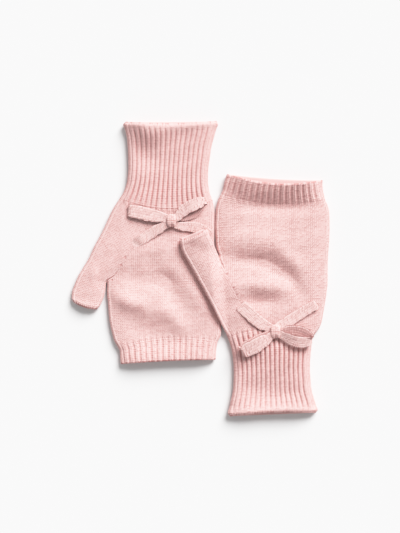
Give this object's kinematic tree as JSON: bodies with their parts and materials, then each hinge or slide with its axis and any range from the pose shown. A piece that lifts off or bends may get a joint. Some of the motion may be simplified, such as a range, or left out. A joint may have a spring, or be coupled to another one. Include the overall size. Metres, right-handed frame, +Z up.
{
  "type": "pair of fingerless mittens",
  "caption": "Pair of pink knitted fingerless mittens laid flat, with ribbed cuffs, open finger and thumb ends and a cord bow at each wrist.",
  "frame": {"origin": "on the surface the pair lies on, under the middle of the pair's outline", "axes": "+X to the right as the pair is seen from above, +Y towards the rim of the left mitten's cuff, +Z up from the surface"},
  "size_m": [0.2268, 0.2576, 0.0184],
  "materials": {
    "hand_yarn": "soft plain knit, pale pink",
    "cuff_yarn": "soft ribbed knit, pale pink",
    "band_yarn": "soft ribbed knit, pale pink",
    "bow_yarn": "flat knitted cord, pale pink"
  },
  "bodies": {
    "root": {"left_cuff": "cuff_yarn", "left_hand": "hand_yarn", "left_thumb": "hand_yarn", "left_band": "band_yarn", "left_bow_knot": "bow_yarn", "left_bow_loop_a": "bow_yarn", "left_bow_loop_b": "bow_yarn", "left_bow_tail_a": "bow_yarn", "left_bow_tail_b": "bow_yarn", "right_cuff": "cuff_yarn", "right_hand": "hand_yarn", "right_thumb": "hand_yarn", "right_band": "band_yarn", "right_bow_knot": "bow_yarn", "right_bow_loop_a": "bow_yarn", "right_bow_loop_b": "bow_yarn", "right_bow_tail_a": "bow_yarn", "right_bow_tail_b": "bow_yarn"}
  },
  "joints": []
}
